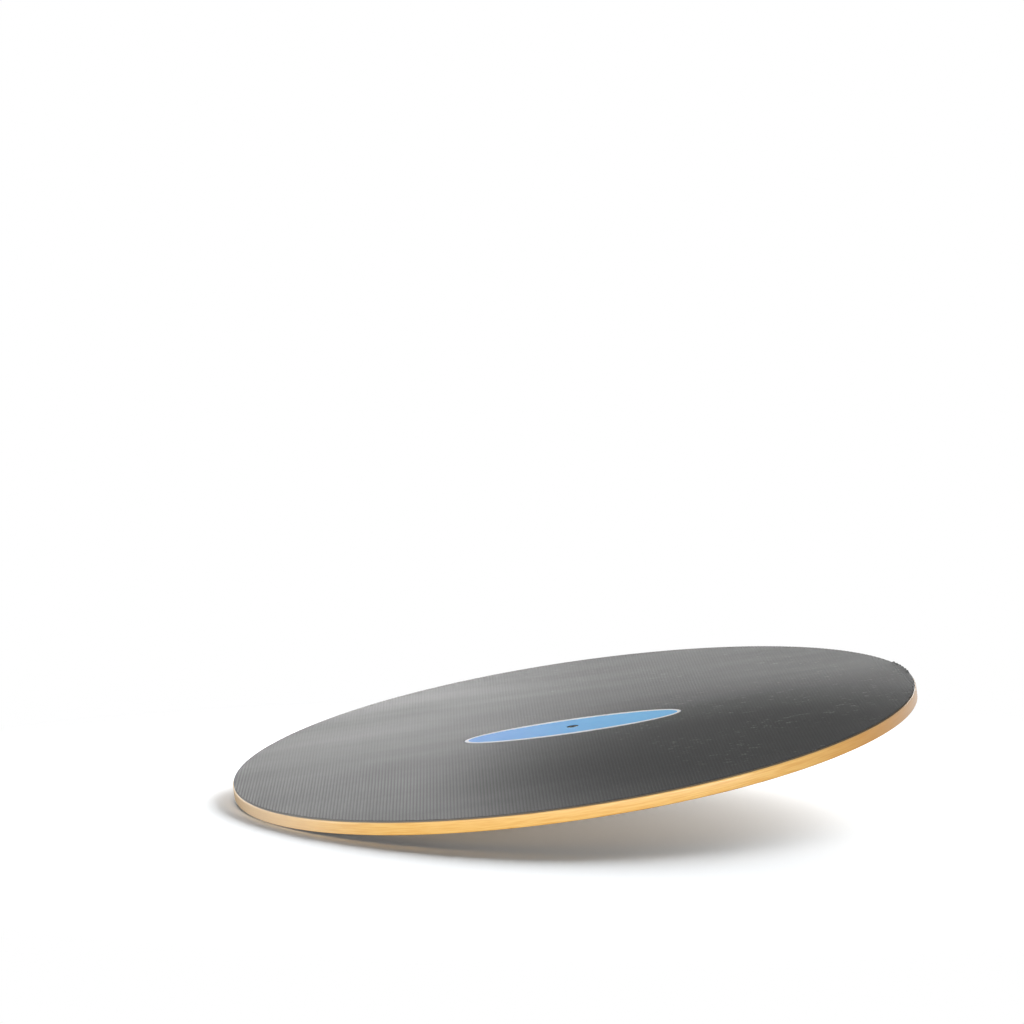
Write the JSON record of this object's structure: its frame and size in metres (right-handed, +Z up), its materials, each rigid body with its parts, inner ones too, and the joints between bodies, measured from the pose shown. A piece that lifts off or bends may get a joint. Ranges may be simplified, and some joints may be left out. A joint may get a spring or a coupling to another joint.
{
  "type": "dog wobble board",
  "caption": "Round plywood balance board with a ribbed rubber mat, on a half ball that screws up and down under it.",
  "frame": {"origin": "centre of the footprint at floor level, with the board at rest on its half ball and its low edge", "axes": "+Z up; the board leans about Y, with its low edge on the floor towards -X and its raised edge towards +X; the deck's own axis leans 9.8 degrees from +Z towards -X"},
  "size_m": [0.9028, 0.914, 0.1729],
  "materials": {
    "plywood": "satin",
    "mat_rubber": "matte",
    "label_film": "satin",
    "dark_steel": "satin",
    "zinc_steel": "satin",
    "black_plastic": "satin",
    "tread_rubber": "matte",
    "nylon": "satin"
  },
  "bodies": {
    "ball": {"half_ball": "black_plastic", "ball_tread": "tread_rubber"},
    "ring": {"drag_ring": "tread_rubber"},
    "deck": {"deck": "plywood", "grip_mat": "mat_rubber", "label": "label_film", "centre_bolt": "dark_steel", "centre_washer": "zinc_steel", "hub_plate": "black_plastic", "bolt_bush": "zinc_steel", "back_washer": "zinc_steel", "lock_nut": "zinc_steel", "lock_nut_insert": "nylon", "hub_screw_1": "zinc_steel", "hub_screw_2": "zinc_steel", "hub_screw_3": "zinc_steel", "hub_screw_4": "zinc_steel", "hub_screw_5": "zinc_steel", "hub_screw_6": "zinc_steel", "hub_screw_7": "zinc_steel", "hub_screw_8": "zinc_steel"}
  },
  "joints": [
    {"name": "screw_turn", "type": "hinge", "parent": "ball", "child": "ring", "pos_m": [0.00135, 0, 0.07751], "axis": [-0.1702, 0, 0.9854], "range_deg": [0, 720]},
    {"name": "deck_height", "type": "slide", "parent": "ring", "child": "deck", "axis": [-0.1702, 0, 0.9854], "range_m": [0, 0.012]}
  ],
  "couplings": [
    {"joint": "deck_height", "follows": "screw_turn", "m_per_rad": 0.00095493}
  ]
}
